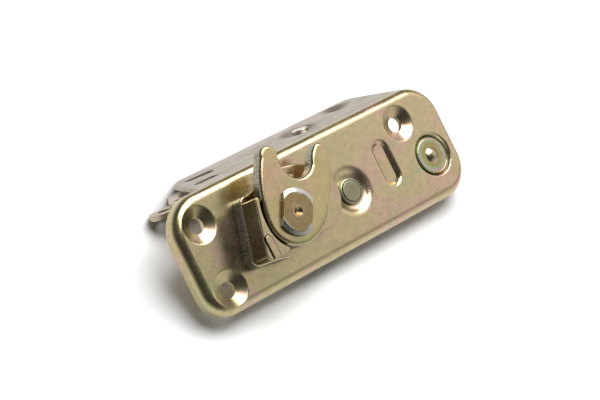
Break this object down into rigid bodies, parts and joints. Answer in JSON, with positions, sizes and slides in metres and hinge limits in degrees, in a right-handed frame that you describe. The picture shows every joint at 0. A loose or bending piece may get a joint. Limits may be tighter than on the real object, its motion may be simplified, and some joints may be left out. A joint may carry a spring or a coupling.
{
  "type": "door lock",
  "caption": "Rotary claw door lock: pressed plate with rolled edges and a turned-back flange, a two-pronged claw, ratchet and pawl behind, and two release levers.",
  "frame": {"origin": "on the axis of the screw hole at the plate's upper left corner, in the middle of its wall, 3 mm behind the face", "axes": "+X along the plate's long side, +Y towards the turned-back flange, +Z out of the face"},
  "size_m": [0.1411, 0.0536, 0.053],
  "materials": {
    "plate": "yellow zinc passivated",
    "guide": "yellow zinc passivated",
    "claw": "yellow zinc passivated",
    "axle": "yellow zinc passivated, worn",
    "rivet": "yellow zinc passivated",
    "lever": "yellow zinc passivated",
    "inner": "yellow zinc passivated",
    "bright_steel": "clear zinc",
    "dark_steel": "dark, polished",
    "spring": "drawn wire"
  },
  "bodies": {
    "case": {"face_plate": "plate", "guide_plate": "guide", "guide_lug": "guide", "lug_wedge": "dark_steel", "pawl_rivet": "rivet", "pawl_spacer": "inner", "end_rivet": "rivet", "end_disc": "rivet", "corner_rivets": "bright_steel", "spring_post": "bright_steel", "rear_plate": "plate", "flange_rivet": "bright_steel", "lever_washer": "inner", "lever_bush": "inner", "flange_washer": "inner", "flange_stud": "bright_steel", "claw_spring": "spring", "release_spring": "spring", "pawl_spring": "spring"},
    "claw_body": {"claw": "claw", "claw_axle": "axle", "claw_collar": "inner", "ratchet": "guide", "ratchet_spacer": "inner", "spring_bush": "inner", "axle_washer": "inner", "axle_clip": "dark_steel"},
    "pawl_body": {"pawl": "guide", "pawl_stud": "bright_steel"},
    "release_body": {"release_lever": "lever"},
    "lock_body": {"lock_lever": "lever"}
  },
  "joints": [
    {"name": "claw_turn", "type": "hinge", "parent": "case", "child": "claw_body", "pos_m": [0.031, -0.0118, 0.003], "axis": [0, 0, -1], "range_deg": [0, 75], "stiffness_Nm_per_rad": 0.1, "springref_deg": -45.84, "deforming": ["claw_spring"]},
    {"name": "release_lever_turn", "type": "hinge", "parent": "case", "child": "release_body", "pos_m": [0.075, 0.00994, -0.01707], "axis": [0, -0.9816, -0.1908], "range_deg": [0, 7], "stiffness_Nm_per_rad": 0.3, "springref_deg": -22.92, "deforming": ["release_spring"]},
    {"name": "pawl_turn", "type": "hinge", "parent": "case", "child": "pawl_body", "pos_m": [0.0703, -0.0151, 0.003], "axis": [0, 0, 1], "range_deg": [0, 6.5], "deforming": ["pawl_spring"]},
    {"name": "lock_lever_turn", "type": "hinge", "parent": "case", "child": "lock_body", "pos_m": [0.075, 0.00994, -0.01707], "axis": [0, 0.9816, 0.1908], "range_deg": [-6, 6]}
  ],
  "couplings": [
    {"joint": "pawl_turn", "follows": "release_lever_turn", "ratio": 0.9}
  ]
}
